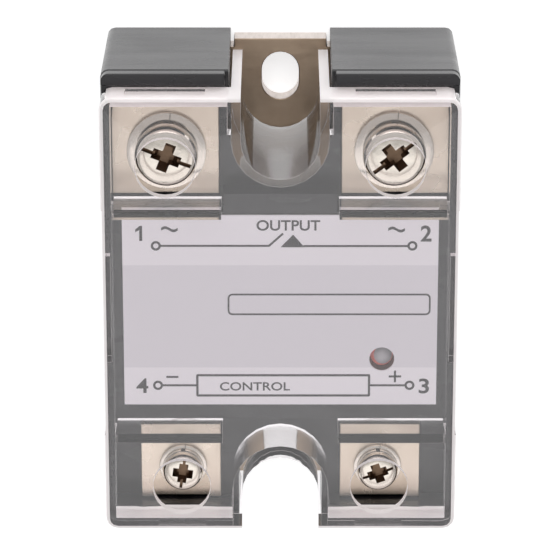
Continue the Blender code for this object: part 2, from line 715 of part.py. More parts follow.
def bent_lead(name, x, start, end, level, top, gauge=LEAD):
    """A flat lead that runs along Y at level and turns up, or down, to top at its end."""
    near = end + math.copysign(gauge, start - end)
    rise = math.copysign(gauge, top - level)
    outline = [(start, level), (end, level), (end, top), (near, top), (near, level + rise),
               (start, level + rise)]
    return prism(name, [outline], *spread(x, LEAD_WIDTH), along="X")


def make_thyristor(number, side):
    x, y = thyristor_spans(side)
    name = f"thyristor_{number}"
    low = CERAMIC_TOP + SEAT
    body_y = (y[0], y[0] + THYRISTOR_BODY)
    case = box(name, x, body_y, (low, low + THYRISTOR_HEIGHT), EPOXY)
    join(case, box(f"{name}_tab", x, (body_y[1] - OVERLAP, y[1]), (low, low + THYRISTOR_TAB_HEIGHT)))
    for place in (-1, 0, 1):
        centre = sum(x) / 2 + place * THYRISTOR_PITCH
        join(case, bent_lead(f"{name}_lead_{place}", centre, y[0] + OVERLAP, y[0] - LEAD_RUN,
                             low + THYRISTOR_HEIGHT / 2, BOARD_UNDERSIDE - SEAT))
    return case


def make_chip(name, centre, size, pins, pitch):
    """A packaged chip on the board, with a row of pins down each long side."""
    raised = BOARD_SEAT + FIT
    x, y = spread(centre[0], size[0]), spread(centre[1], size[1])
    case = box(name, x, y, (raised, raised + size[2]), EPOXY)
    for side in (-1, 1):
        face = centre[1] + side * size[1] / 2
        for pin in range(pins):
            place = centre[0] + (pin - (pins - 1) / 2) * pitch
            join(case, bent_lead(f"{name}_pin_{side}_{pin}", place, face - side * OVERLAP,
                                 face + side * LEAD, raised + size[2] / 2, BOARD_SEAT, LEAD / 2))
    return case


def make_axial(name, centre, radius, length, surface):
    """A resistor or diode lying along Y, with its two leads bent down to the board."""
    axis = BOARD_SEAT + radius + SEAT
    bm = bmesh.new()
    bmesh.ops.create_cone(bm, cap_ends=True, segments=SEGMENTS // 2, radius1=radius, radius2=radius,
                          depth=length)
    for vert in bm.verts:
        x, y, z = vert.co
        vert.co = (centre[0] + x, centre[1] + z, axis + y)
    body = finish_mesh(name, bm, surface, smooth=True)
    for side in (-1, 1):
        face = centre[1] + side * length / 2
        join(body, bent_lead(f"{name}_lead_{side}", centre[0], face - side * OVERLAP,
                             face + side * LEAD_RUN / 2, axis, BOARD_SEAT))
    return body


def make_led():
    """The status lamp: a round lens on a flange, with two leads down to the board."""
    top = BODY_HEIGHT - LED_DROP
    low = top - LED_HEIGHT
    dome = [(LED_RADIUS * math.sin(math.radians(turn)),
             top - LED_RADIUS + LED_RADIUS * math.cos(math.radians(turn))) for turn in range(0, 91, 15)]
    flange = low + LED_FLANGE_HEIGHT
    lamp = turned("status_led", dome + [(LED_RADIUS, flange), (LED_FLANGE, flange), (LED_FLANGE, low),
                                        (0, low)], RED_LENS)
    lamp.location = Vector((*LED_CENTRE, 0)) * MM
    for side in (-1, 1):
        lead = LED_CENTRE[0] + side * THYRISTOR_PITCH / 2
        join(lamp, box(f"led_lead_{side}", spread(lead, LEAD), spread(LED_CENTRE[1], LEAD),
                       (BOARD_SEAT, low + OVERLAP)))
    return lamp


def make_resin():
    """The potting round the thyristors, cast clear of everything that stands in it."""
    far = END + PAST
    side, end = CAVITY_SIDE - FIT, CAVITY_END - FIT
    low = PLATE_THICKNESS + FIT
    resin = box("potting_resin", (-side, side), (-end, end), (low, RESIN_TOP), RESIN)
    height = (-PAST, RESIN_TOP + PAST)
    ceramic_x, ceramic_y = ceramic_span()
    cut(resin,
        prism("resin_output_well", [u_shape(NOTCH_RADIUS + WELL_WALL + FIT, OUTPUT_WELL, far)], *height),
        prism("resin_control_well", [u_shape(LOWER_NOTCH_RADIUS + WELL_WALL + FIT, CONTROL_WELL, -far)],
              *height),
        box("resin_ceramic", grown(ceramic_x, FIT), grown(ceramic_y, FIT), (-PAST, CERAMIC_TOP + FIT)))
    for terminal in OUTPUT_TERMINALS:
        y = (min(terminal.leg_y) - FOOT_LENGTH, max(terminal.leg_y))
        cut(resin, box(f"resin_leg_{terminal.number}", grown(terminal.leg_x, FIT), grown(y, FIT), height))
    for number, place in ((1, -1), (2, 1)):
        x, y = thyristor_spans(place)
        cut(resin, box(f"resin_thyristor_{number}", grown(x, FIT), grown((y[0] - LEAD_RUN, y[1]), FIT),
                       height))
    return resin


def make_electronics():
    make_board()
    make_ceramic()
    make_thyristor(1, -1)
    make_thyristor(2, 1)
    make_resin()
    make_led()
    middle = (CONTROL_EDGE + OUTPUT_EDGE) / 2
    make_chip("optocoupler", (-1.0, middle - 7.0), (8.4, 6.4, 3.2), 3, 2.54)
    make_chip("control_ic", (-11.5, middle - 8.0), (5.0, 4.0, 1.5), 4, 1.27)
    capacitor = rounded_block("snubber_capacitor", (-14.0, -1.0), (middle + 4.5, middle + 9.5),
                              (BOARD_SEAT, BOARD_SEAT + 5.0), 1.0, 0.5, FILM_CAPACITOR)
    make_axial("snubber_resistor", (2.4, middle + 6.0), 1.6, 8.0, RESISTOR_COAT)
    make_axial("gate_resistor_1", (7.2, middle + 5.0), 1.1, 6.0, RESISTOR_COAT)
    make_axial("gate_resistor_2", (11.0, middle + 5.0), 1.1, 6.0, RESISTOR_COAT)
    make_axial("input_diode", (-15.2, middle - 0.5), 1.0, 4.4, EPOXY)
    return capacitor


# ================================================================== assembly
def main():
    make_base_plate()
    make_housing()
    make_cover()
    make_label()
    for terminal in TERMINALS:
        make_terminal_plate(terminal)
        make_insert(terminal)
        make_washers(terminal)
        make_screw(terminal)
    make_electronics()
    relay = bpy.data.objects.new("relay", None)
    PARTS.objects.link(relay)
    for item in PARTS.objects:
        if item is not relay:
            item.parent = relay


main()
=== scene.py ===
"""Solid state relay: the finish of every surface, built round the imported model."""

import json
import math
from typing import NamedTuple

import bmesh
import bpy
from mathutils import Matrix, Vector


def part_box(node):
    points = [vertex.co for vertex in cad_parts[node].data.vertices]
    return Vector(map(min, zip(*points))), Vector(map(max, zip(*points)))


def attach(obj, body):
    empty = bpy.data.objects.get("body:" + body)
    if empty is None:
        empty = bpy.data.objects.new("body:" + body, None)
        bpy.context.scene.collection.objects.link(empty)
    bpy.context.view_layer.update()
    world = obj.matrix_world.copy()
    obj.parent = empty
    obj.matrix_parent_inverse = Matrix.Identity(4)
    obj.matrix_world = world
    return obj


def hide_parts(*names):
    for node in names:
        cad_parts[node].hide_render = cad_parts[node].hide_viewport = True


bl_info = {
    "name": "Solid State Relay",
    "version": (1, 0, 0),
    "blender": (4, 5, 0),
    "location": "3D View > Sidebar > Relay",
    "description": "Builds the shells, terminals, screws, label and studio of a solid state relay",
    "category": "Add Mesh",
}

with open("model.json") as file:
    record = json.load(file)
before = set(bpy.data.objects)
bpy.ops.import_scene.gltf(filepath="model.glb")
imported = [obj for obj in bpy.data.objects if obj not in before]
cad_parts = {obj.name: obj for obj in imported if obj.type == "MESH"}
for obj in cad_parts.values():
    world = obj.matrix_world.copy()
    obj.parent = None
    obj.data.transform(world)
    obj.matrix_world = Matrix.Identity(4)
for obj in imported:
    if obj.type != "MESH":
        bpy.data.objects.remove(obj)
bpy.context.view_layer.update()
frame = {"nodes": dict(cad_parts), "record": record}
MM = 0.001


class PanHead(NamedTuple):
    """One size of pan-head screw and of the hole in its washers, in millimetres."""

    head: float  # radius of the head
    height: float  # height of the head
    shank: float  # radius over the thread
    pitch: float
    hole: float  # radius of the washers' hole
    cross: float  # width of the recess's arms
    span: float  # their length from tip to tip
    slot: float  # width of the slot through the recess
    reach: float  # its length from end to end


M4 = PanHead(4.0, 2.1, 2.0, 0.7, hole=2.3, cross=1.55, span=4.72, slot=0.62, reach=6.64)
M3 = PanHead(2.6, 1.7, 1.5, 0.5, hole=1.8, cross=1.35, span=3.432, slot=0.45, reach=4.16)
SCREW_SIZES = {1: M4, 2: M4, 3: M3, 4: M3}

# Each terminal screw's turn, in degrees, so that no two recesses lie the same way.
SCREW_TURNS = {1: -21, 2: 38, 3: 20, 4: 82}

# The cover's material slots: clear, frosted with a painted glow, and hazed with a painted glow low down.
CLEAR, FROSTED_GLOW, HAZED_GLOW = range(3)


# ================================================================== node helpers
def linear(colour):
    """The linear colour of an sRGB hex code such as "d9cabf". A colour setting is linear already."""
    if not isinstance(colour, str):
        return (*colour, 1.0)
    channels = [int(colour[place:place + 2], 16) / 255 for place in (0, 2, 4)]
    return tuple(c / 12.92 if c <= 0.04045 else ((c + 0.055) / 1.055) ** 2.4
                 for c in channels) + (1.0,)


def add(tree, kind, links=None, **settings):
    """Add a node. links maps an input to a value, or to the socket that feeds it."""
    made = tree.nodes.new(kind)
    for name, value in settings.items():
        setattr(made, name, value)
    for name, value in (links or {}).items():
        if isinstance(value, bpy.types.NodeSocket):
            tree.links.new(value, made.inputs[name])
        else:
            made.inputs[name].default_value = value
    return made


def new_material(name, colour, roughness, metallic=0.0, **sockets):
    """A material with one Principled shader. sockets are further inputs by their label."""
    made = bpy.data.materials.new(name)
    made.use_nodes = True
    tree = made.node_tree
    shader = tree.nodes["Principled BSDF"]
    shader.inputs["Base Color"].default_value = linear(colour)
    shader.inputs["Roughness"].default_value = roughness
    shader.inputs["Metallic"].default_value = metallic
    for label, value in sockets.items():
        shader.inputs[label.replace("_", " ")].default_value = value
    return made, tree, shader


def place(tree, scale=(1.0, 1.0, 1.0)):
    """Object coordinates in millimetres, stretched by scale."""
    where = add(tree, "ShaderNodeTexCoord")
    return add(tree, "ShaderNodeMapping", {
        "Vector": where.outputs["Object"],
        "Scale": tuple(part / MM for part in scale),
    }).outputs["Vector"]


def noise(tree, grain, stretch=(1.0, 1.0, 1.0), detail=2.0):
    """Noise whose features are about grain millimetres across.

    Real moulding, rolling and grinding marks of 0.05 to 0.1 mm are too fine to show, so the
    materials draw them 0.2 to 0.6 mm across.
    """
    made = add(tree, "ShaderNodeTexNoise", {
        "Vector": place(tree, stretch), "Scale": 1.0 / grain, "Detail": detail,
    })
    return made.outputs["Fac"]


def spread(tree, value, low, high):
    """Map a 0 to 1 pattern onto the range from low to high."""
    return add(tree, "ShaderNodeMapRange", {
        "Value": value, "From Min": 0.3, "From Max": 0.7, "To Min": low, "To Max": high,
    }).outputs["Result"]


def tint(tree, factor, first, second):
    """Mix two colours by a pattern. Inputs 6 and 7 and output 2 are the Mix node's colour sockets."""
    mixed = add(tree, "ShaderNodeMix", {
        0: factor, 6: linear(first), 7: linear(second),
    }, data_type="RGBA")
    return mixed.outputs[2]


def bump(tree, shader, height, depth, strength=1.0):
    """Feed a pattern to a shader's normal as relief of depth millimetres."""
    made = add(tree, "ShaderNodeBump", {"Height": height, "Distance": depth * MM, "Strength": strength})
    tree.links.new(made.outputs["Normal"], shader.inputs["Normal"])


def let_through(tree, shader, colour, *rays):
    """Let these kinds of ray pass straight through a clear shader, dimmed by a hex colour."""
    path = add(tree, "ShaderNodeLightPath")
    through = add(tree, "ShaderNodeBsdfTransparent", {"Color": linear(colour)})
    surface = shader.outputs[0]
    for ray in rays:
        surface = add(tree, "ShaderNodeMixShader", {
            0: path.outputs[ray], 1: surface, 2: through.outputs[0],
        }).outputs[0]
    tree.links.new(surface, tree.nodes["Material Output"].inputs["Surface"])


# ================================================================== materials
def moulded_pbt(colour):
    """Black PBT, injection moulded: a fine spark-eroded grain and a soft sheen."""
    made, tree, shader = new_material("moulded_black_pbt", colour, 0.4)
    smear = noise(tree, grain=6.0, stretch=(0.3, 1.0, 1.6), detail=4.0)
    tree.links.new(spread(tree, smear, 0.2, 0.33), shader.inputs["Roughness"])
    tree.links.new(tint(tree, smear, colour, "2b2a2d"), shader.inputs["Base Color"])
    bump(tree, shader, noise(tree, grain=0.22, detail=3.0), depth=0.012)
    return made


def clear_polycarbonate(colour):
    """Clear polycarbonate, moulded and glossy. Lamps and soft bounces pass straight through
    it, so that what it covers is lit as through a thin clear wall."""
    made, tree, shader = new_material("clear_polycarbonate", colour, 0.03,
                                      Transmission_Weight=1.0, IOR=1.585)
    bump(tree, shader, noise(tree, grain=7.0, detail=1.0), depth=0.02, strength=0.35)
    let_through(tree, shader, "f4f2f3", "Is Diffuse Ray", "Is Shadow Ray")
    return made


def satin_polycarbonate(colour):
    """The cover's end walls and fillets: frosted, with a painted glow that stands in for the light that
    clear plastic carries.
    """
    made, tree, shader = new_material("satin_wall_painted_glow", colour, 0.3,
                                      Transmission_Weight=0.3, IOR=1.585)
    drag = noise(tree, grain=1.6, stretch=(0.5, 0.5, 2.0), detail=3.0)
    tree.links.new(tint(tree, drag, colour, "ded8da"), shader.inputs["Base Color"])
    # Painted glow: the walls give off a faint light of their own, in place of the light that clear
    # plastic carries in from the bright surroundings.
    shader.inputs["Emission Color"].default_value = linear("f6ebe8")
    shader.inputs["Emission Strength"].default_value = 0.22
    let_through(tree, shader, "e6e2e4", "Is Shadow Ray")
    return made


def hazed_polycarbonate_painted_glow(colour):
    """The back of the bolt well: lightly hazed all over, with a painted glow that is strongest low down
    and gone by 19 mm up.
    """
    made, tree, shader = new_material("hazed_polycarbonate_painted_glow", colour, 0.22,
                                      Transmission_Weight=0.8, IOR=1.585)
    where = add(tree, "ShaderNodeSeparateXYZ", {"Vector": place(tree)})
    glow_low_down = add(tree, "ShaderNodeMapRange", {
        "Value": where.outputs["Z"], "From Min": 4.0, "From Max": 19.0, "To Min": 0.2, "To Max": 0.0,
    })
    # Painted glow: light given off by the plastic itself, strongest 4 mm up and fading to nothing by 19
    # mm.
    shader.inputs["Emission Color"].default_value = linear("eef0f2")
    tree.links.new(glow_low_down.outputs["Result"], shader.inputs["Emission Strength"])
    let_through(tree, shader, "eeeced", "Is Shadow Ray")
    return made


def rolled_nickel(colour, worn):
    """Nickel-plated sheet, rolled and blanked: faint drawn lines and a warm cast."""
    made, tree, shader = new_material("rolled_nickel_plate", colour, 0.3, 1.0)
    lines = noise(tree, grain=0.5, stretch=(1.0, 0.08, 1.0), detail=3.0)
    cloud = noise(tree, grain=5.0, detail=3.0)
    tree.links.new(tint(tree, cloud, colour, worn), shader.inputs["Base Color"])
    tree.links.new(spread(tree, cloud, 0.24, 0.38), shader.inputs["Roughness"])
    bump(tree, shader, lines, depth=0.01, strength=0.6)
    return made


def ground_plate(colour, worn):
    """The thick base plate: ground flat, then nickel plated, with a matte bite."""
    made, tree, shader = new_material("ground_nickel_plate", colour, 0.36, 1.0)
    cloud = noise(tree, grain=4.0, detail=4.0)
    marks = noise(tree, grain=0.6, stretch=(0.15, 1.0, 1.0), detail=3.0)
    tree.links.new(tint(tree, cloud, colour, worn), shader.inputs["Base Color"])
    tree.links.new(spread(tree, marks, 0.3, 0.44), shader.inputs["Roughness"])
    bump(tree, shader, noise(tree, grain=0.35), depth=0.012)
    return made


def sheared_edge(colour):
    """The base plate's sheared edge: bright torn metal with upright tool lines."""
    made, tree, shader = new_material("sheared_nickel_edge", colour, 0.34, 1.0)
    lines = noise(tree, grain=0.35, stretch=(1.0, 1.0, 0.15), detail=3.0)
    tree.links.new(tint(tree, lines, colour, "b9afa8"), shader.inputs["Base Color"])
    bump(tree, shader, lines, depth=0.02)
    return made


def bright_nickel(colour):
    """Barrel-plated screws and washers: bright, with tiny dents from tumbling."""
    made, tree, shader = new_material("barrel_plated_nickel", colour, 0.16, 1.0)
    rubbed = noise(tree, grain=1.6, detail=3.0)
    tree.links.new(spread(tree, rubbed, 0.11, 0.24), shader.inputs["Roughness"])
    bump(tree, shader, noise(tree, grain=0.9), depth=0.02, strength=0.5)
    return made


def recess_nickel(colour):
    """The walls of a screw's recess: a darker brown metal than the crown, in patches."""
    made, tree, shader = new_material("punched_recess", colour, 0.4, 1.0)
    patches = noise(tree, grain=0.5, detail=3.0)
    tree.links.new(tint(tree, patches, colour, "8b7460"), shader.inputs["Base Color"])
    bump(tree, shader, noise(tree, grain=0.25), depth=0.02)
    return made


def label_film(colour, middle):
    """Silver-grey polyester film: a pale band at each end and a greyer middle."""
    made, tree, shader = new_material("printed_polyester_film", colour, 0.42)
    band_start, band_end = -8.35, 5.51
    where = add(tree, "ShaderNodeSeparateXYZ", {"Vector": place(tree)})
    above = add(tree, "ShaderNodeMath", {
        0: where.outputs["Y"], 1: band_start,
    }, operation="GREATER_THAN")
    below = add(tree, "ShaderNodeMath", {
        0: where.outputs["Y"], 1: band_end,
    }, operation="LESS_THAN")
    band = add(tree, "ShaderNodeMath", {
        0: above.outputs[0], 1: below.outputs[0],
    }, operation="MULTIPLY")
    tree.links.new(tint(tree, band.outputs[0], colour, middle), shader.inputs["Base Color"])
    sheen = noise(tree, grain=1.2, detail=3.0)
    tree.links.new(spread(tree, sheen, 0.36, 0.48), shader.inputs["Roughness"])
    bump(tree, shader, noise(tree, grain=0.3), depth=0.004)
    return made


def screen_ink(colour):
    """Dark grey screen ink, a little uneven at its edges."""
    made, tree, shader = new_material("screen_ink", colour, 0.55)
    cover = noise(tree, grain=0.25)
    tree.links.new(tint(tree, cover, colour, "3a383c"), shader.inputs["Base Color"])
    return made


def tinted_epoxy(colour, rim, centre):
    """The lamp's cast epoxy: a frosted grey face, set off centre on its clear red bulb, both with a
    painted glow.
    """
    made, tree, shader = new_material("tinted_lamp_epoxy_painted_glow", colour, 0.4, Coat_Weight=0.3)
    face_radius, bulb_radius = 1.3, 1.42
    spot = add(tree, "ShaderNodeVectorMath", {0: place(tree), 1: centre}, operation="DISTANCE")
    edge = add(tree, "ShaderNodeMapRange", {
        "Value": spot.outputs["Value"], "From Min": face_radius, "From Max": bulb_radius,
    })
    face = tint(tree, edge.outputs["Result"], colour, rim)
    tree.links.new(face, shader.inputs["Base Color"])
    # Painted glow: the unlit lamp gives off a faint light in its own colours, which lifts the shade on
    # its rounded rim.
    tree.links.new(face, shader.inputs["Emission Color"])
    shader.inputs["Emission Strength"].default_value = 0.22
    frost = noise(tree, grain=0.5, detail=1.0)
    tree.links.new(spread(tree, frost, 0.34, 0.46), shader.inputs["Roughness"])
    return made


def plain_finish(name, colour, other, roughness, grain, relief, metallic=0.0):
    """A finish for the pieces inside: two close tones in patches and a fine relief."""
    made, tree, shader = new_material(name, colour, roughness, metallic)
    patches = noise(tree, grain, detail=3.0)
    tree.links.new(tint(tree, patches, colour, other), shader.inputs["Base Color"])
    bump(tree, shader, noise(tree, grain / 4), relief)
    return made


# ================================================================== mesh helpers
def show(name, bm, *surfaces, smooth=40):
    """Turn a bmesh, in metres, into an object with these materials."""
    mesh = bpy.data.meshes.new(name)
    bm.to_mesh(mesh)
    bm.free()
    item = bpy.data.objects.new(name, mesh)
    bpy.context.scene.collection.objects.link(item)
    for surface in surfaces:
        mesh.materials.append(surface)
    mesh.shade_smooth()
    mesh.set_sharp_from_angle(angle=math.radians(smooth))
    return item


def settle(item):
    """Apply an object's modifiers, so that it's a plain mesh at the origin."""
    graph = bpy.context.evaluated_depsgraph_get()
    mesh = bpy.data.meshes.new_from_object(item.evaluated_get(graph))
    mesh.name = item.name
    item.modifiers.clear()
    item.data = mesh
    return item


def flatten_normals(item):
    """Keep wide faces flat to the light and leave the shading's turn to their rounded edges."""
    weighting = item.modifiers.new("weighting", "WEIGHTED_NORMAL")
    weighting.mode = "FACE_AREA"
    weighting.weight = 100
    weighting.thresh = 0.01
    weighting.keep_sharp = True


def rounded_copy(node, name, surface, width, segments=2, smooth=40):
    """A CAD node's shape with its sharp edges rounded by width millimetres."""
    bm = bmesh.new()
    bm.from_mesh(frame["nodes"][node].data)
    bmesh.ops.remove_doubles(bm, verts=bm.verts, dist=1e-6)
    bmesh.ops.dissolve_limit(bm, angle_limit=math.radians(0.5), verts=bm.verts, edges=bm.edges)
    wide = [face for face in bm.faces if len(face.verts) > 4]
    bmesh.ops.triangulate(bm, faces=wide, quad_method="BEAUTY", ngon_method="BEAUTY")
    item = show(name, bm, surface, smooth=smooth)
    rounding = item.modifiers.new("rounding", "BEVEL")
    rounding.width = width * MM
    rounding.segments = segments
    rounding.limit_method = "ANGLE"
    rounding.angle_limit = math.radians(35)
    rounding.miter_outer = "MITER_ARC"
    rounding.use_clamp_overlap = True
    flatten_normals(item)
    return settle(item)


def lathe(profile, steps=64):
    """A bmesh turned about Z from (radius, height) points, in millimetres, top to bottom."""
    bm = bmesh.new()
    points = [bm.verts.new((radius * MM, 0, height * MM)) for radius, height in profile]
    edges = [bm.edges.new(pair) for pair in zip(points, points[1:])]
    bmesh.ops.spin(bm, geom=points + edges, cent=(0, 0, 0), axis=(0, 0, 1),
                   angle=math.tau, steps=steps, use_merge=True)
    bmesh.ops.remove_doubles(bm, verts=bm.verts, dist=1e-7)
    bmesh.ops.recalc_face_normals(bm, faces=bm.faces)
    return bm


def body_of(node):
    """The name of the moving body that holds a CAD node."""
    bodies = frame["record"]["behaviour"]["bodies"]
    return next(body for body, nodes in bodies.items() if node in nodes)


def stand_for(item, node):
    """Let a piece take a CAD node's place: its body and its right to be seen."""
    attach(item, body_of(node))
    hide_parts(node)


def paint(node, surface):
    """Give a CAD node that keeps its own shape a finish."""
    item = frame["nodes"][node]
    item.data.materials.clear()
    item.data.materials.append(surface)


def box_of(node):
    """A CAD node's lowest and highest corners, in millimetres."""
    low, high = (Vector(corner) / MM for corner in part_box(node))
    return low, high


# ================================================================== settings
class RelaySizes(bpy.types.PropertyGroup):
    """Sizes that a user may change."""

    housing_edge: bpy.props.FloatProperty(
        name="Housing edge", description="Rounding on the housing's moulded edges",
        default=0.16 * MM, min=0.02 * MM, unit="LENGTH")
    lip_height: bpy.props.FloatProperty(
        name="Lip height", description="Height of the lip on the output ledge",
        default=1.6 * MM, min=0.3 * MM, unit="LENGTH")
    lip_depth: bpy.props.FloatProperty(
        name="Lip depth", description="Depth of the lip from the end face",
        default=1.6 * MM, min=0.3 * MM, unit="LENGTH")
    cover_edge: bpy.props.FloatProperty(
        name="Cover edge", description="Rounding on the clear cover's edges",
        default=0.28 * MM, min=0.02 * MM, unit="LENGTH")
    plate_edge: bpy.props.FloatProperty(
        name="Plate edge", description="Rounding on blanked metal edges",
        default=0.12 * MM, min=0.02 * MM, unit="LENGTH")
    ink_height: bpy.props.FloatProperty(
        name="Ink height", description="Thickness of the printed ink",
        default=0.02 * MM, min=0.005 * MM, unit="LENGTH")
    line_width: bpy.props.FloatProperty(
        name="Line width", description="Width of the printed circuit lines",
        default=0.26 * MM, min=0.05 * MM, unit="LENGTH")


class RelayColours(bpy.types.PropertyGroup):
    """Colours that a user may change."""

    housing: bpy.props.FloatVectorProperty(
        name="Housing", description="Colour of the moulded housing",
        default=linear("1b1a1d")[:3], min=0, max=1, subtype="COLOR")
    cover: bpy.props.FloatVectorProperty(
        name="Cover", description="Colour of the clear cover",
        default=linear("fbf9fa")[:3], min=0, max=1, subtype="COLOR")
    terminal: bpy.props.FloatVectorProperty(
        name="Terminal", description="Colour of the terminal plates",
        default=linear("e2d5c6")[:3], min=0, max=1, subtype="COLOR")
    screw: bpy.props.FloatVectorProperty(
        name="Screw", description="Colour of the screws and washers",
        default=linear("e0d8ce")[:3], min=0, max=1, subtype="COLOR")
    base: bpy.props.FloatVectorProperty(
        name="Base plate", description="Colour of the base plate",
        default=linear("b8a48f")[:3], min=0, max=1, subtype="COLOR")
    label: bpy.props.FloatVectorProperty(
        name="Label", description="Colour of the label film's end bands",
        default=linear("faf7fc")[:3], min=0, max=1, subtype="COLOR")
    ink: bpy.props.FloatVectorProperty(
        name="Ink", description="Colour of the printed ink",
        default=linear("2b292d")[:3], min=0, max=1, subtype="COLOR")


class RelayPiece:
    """Shared by the operators: where they read the user's sizes and colours."""

    bl_options = {"REGISTER", "UNDO"}

    def size(self, name):
        """One of the user's sizes, in millimetres."""
        return getattr(bpy.context.scene.relay_sizes, name) / MM

    def colour(self, name):
        """One of the user's colours, linear."""
        return getattr(bpy.context.scene.relay_colours, name)


# ================================================================== shells
class RELAY_OT_shells(RelayPiece, bpy.types.Operator):
    """Make the moulded housing and the metal base plate"""

    bl_idname = "relay.shells"
    bl_label = "Housing and base plate"

    def execute(self, context):
        plastic = moulded_pbt(self.colour("housing"))
        housing = rounded_copy("housing", "housing_shell", plastic, self.size("housing_edge"))
        stand_for(housing, "housing")
        self.add_lip(plastic)
        metal = ground_plate(self.colour("base"), "93806d")
        plate = rounded_copy("base_plate", "base_plate_rounded", metal, self.size("plate_edge"))
        plate.data.materials.append(sheared_edge("e6ddd8"))
        for face in plate.data.polygons:
            face.material_index = int(abs(face.normal.z) < 0.5)
        stand_for(plate, "base_plate")
        return {"FINISHED"}

    def add_lip(self, plastic):
        """Stand a low lip on each side of the output ledge, in front of the cover's end wall."""
        low, high = box_of("housing")
        cover_end = box_of("cover")[1].y
        well = 6.9
        inset = 0.12
        corner_radius = 1.0
        for side, name in ((-1, "ledge_lip_1"), (1, "ledge_lip_2")):
            bm = bmesh.new()
            bmesh.ops.create_cube(bm, size=1)
            for vert in bm.verts:
                vert.co.x = side * (high.x - inset if vert.co.x * side > 0 else well)
                vert.co.y = high.y - (0.03 if vert.co.y > 0 else self.size("lip_depth"))
                vert.co.z = high.z + (self.size("lip_height") if vert.co.z > 0 else 0.02)
            corner = [edge for edge in bm.edges
                      if all(vert.co.x * side > well + 1 and vert.co.y > cover_end
                             for vert in edge.verts)
                      and abs(edge.verts[0].co.z - edge.verts[1].co.z) > 0.1
                      and edge.verts[0].co.y > high.y - 0.1]
            bmesh.ops.bevel(bm, geom=corner, offset=corner_radius, segments=6, profile=0.5,
                            affect="EDGES")
            bmesh.ops.scale(bm, vec=(MM, MM, MM), verts=bm.verts)
            bmesh.ops.recalc_face_normals(bm, faces=bm.faces)
            lip = show(name, bm, plastic)
            rounding = lip.modifiers.new("rounding", "BEVEL")
            rounding.width = 0.14 * MM
            rounding.segments = 2
            rounding.limit_method = "ANGLE"
            flatten_normals(lip)
            settle(lip)
            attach(lip, body_of("housing"))


class RELAY_OT_cover(RelayPiece, bpy.types.Operator):
    """Make the clear cover with its wells and ribs"""

    bl_idname = "relay.cover"
    bl_label = "Clear cover"

    def execute(self, context):
        colour = self.colour("cover")
        cover = rounded_copy("cover", "clear_cover", clear_polycarbonate(colour),
                             self.size("cover_edge"), smooth=50)
        cover.data.materials.append(satin_polycarbonate(colour))
        cover.data.materials.append(hazed_polycarbonate_painted_glow(colour))
        for face in cover.data.polygons:
            face.material_index = self.surface_of(face)
        stand_for(cover, "cover")
        return {"FINISHED"}

    def surface_of(self, face):
        """The surface of one face, by its direction and its place in millimetres."""
        across, along = abs(face.center.x) / MM, abs(face.center.y) / MM
        at_output = face.center.y > 0
        side, end, up = (abs(part) for part in face.normal)
        # Frosted faces carry the painted glow: on sloped faces, end walls and the opening it stands in
        # for light carried through the plastic, and on the panel's two edges it paints two bright lines.
        if 0.2 < up < 0.95:
            return FROSTED_GLOW
        if up >= 0.95:
            return CLEAR
        # The back of the bolt well takes the hazed plastic with its painted glow.
        if at_output and across < 3.4 and along < 26.0 and face.normal.y > 0.75:
            return HAZED_GLOW
        end_wall = along > 26.0 and (face.normal.y > 0.9 or end > 0.9 and at_output)
        opening = min(side, end) > 0.05 and 6.6 < across < 19.0 and along < 28.0
        panel_edge = side > 0.9 and 8.0 < across < 19.5 and along > 29.0
        return FROSTED_GLOW if end_wall or opening or panel_edge else CLEAR


# ================================================================== terminals
class RELAY_OT_terminals(RelayPiece, bpy.types.Operator):
    """Make the four terminal plates"""

    bl_idname = "relay.terminals"
    bl_label = "Terminal plates"

    def execute(self, context):
        surface = rolled_nickel(self.colour("terminal"), "cfc0ae")
        for node in sorted(frame["nodes"]):
            if "_terminal_" in node:
                plate = rounded_copy(node, f"{node}_plate", surface, self.size("plate_edge"), 3)
                stand_for(plate, node)
        return {"FINISHED"}


# ================================================================== ring and thread trees
def ring_tree():
    """Geometry nodes: a strip of metal bent round into a ring, split or closed."""
    tree = bpy.data.node_groups.new("bent_ring", "GeometryNodeTree")
    face = tree.interface
    for label, kind, value in (
            ("Turns", "NodeSocketFloat", 1.0), ("Radius", "NodeSocketFloat", 3.0 * MM),
            ("Rise", "NodeSocketFloat", 0.0), ("Width", "NodeSocketFloat", 1.0 * MM),
            ("Thickness", "NodeSocketFloat", 0.5 * MM), ("Steps", "NodeSocketInt", 96),
            ("Finish", "NodeSocketMaterial", None)):
        socket = face.new_socket(name=label, in_out="INPUT", socket_type=kind)
        if value is not None:
            socket.default_value = value
    face.new_socket(name="Geometry", in_out="OUTPUT", socket_type="NodeSocketGeometry")
    given = add(tree, "NodeGroupInput").outputs
    path = add(tree, "GeometryNodeCurveSpiral", {
        "Resolution": given["Steps"], "Rotations": given["Turns"], "Start Radius": given["Radius"],
        "End Radius": given["Radius"], "Height": given["Rise"],
    })
    section = add(tree, "GeometryNodeCurvePrimitiveQuadrilateral", {
        "Width": given["Width"], "Height": given["Thickness"],
    })
    swept = add(tree, "GeometryNodeCurveToMesh", {
        "Curve": path.outputs["Curve"], "Profile Curve": section.outputs["Curve"], "Fill Caps": True,
    })
    plain = add(tree, "GeometryNodeRealizeInstances", {"Geometry": swept.outputs["Mesh"]})
    done = add(tree, "GeometryNodeSetMaterial", {
        "Geometry": plain.outputs["Geometry"], "Material": given["Finish"],
    })
    add(tree, "NodeGroupOutput", {"Geometry": done.outputs["Geometry"]})
    return tree


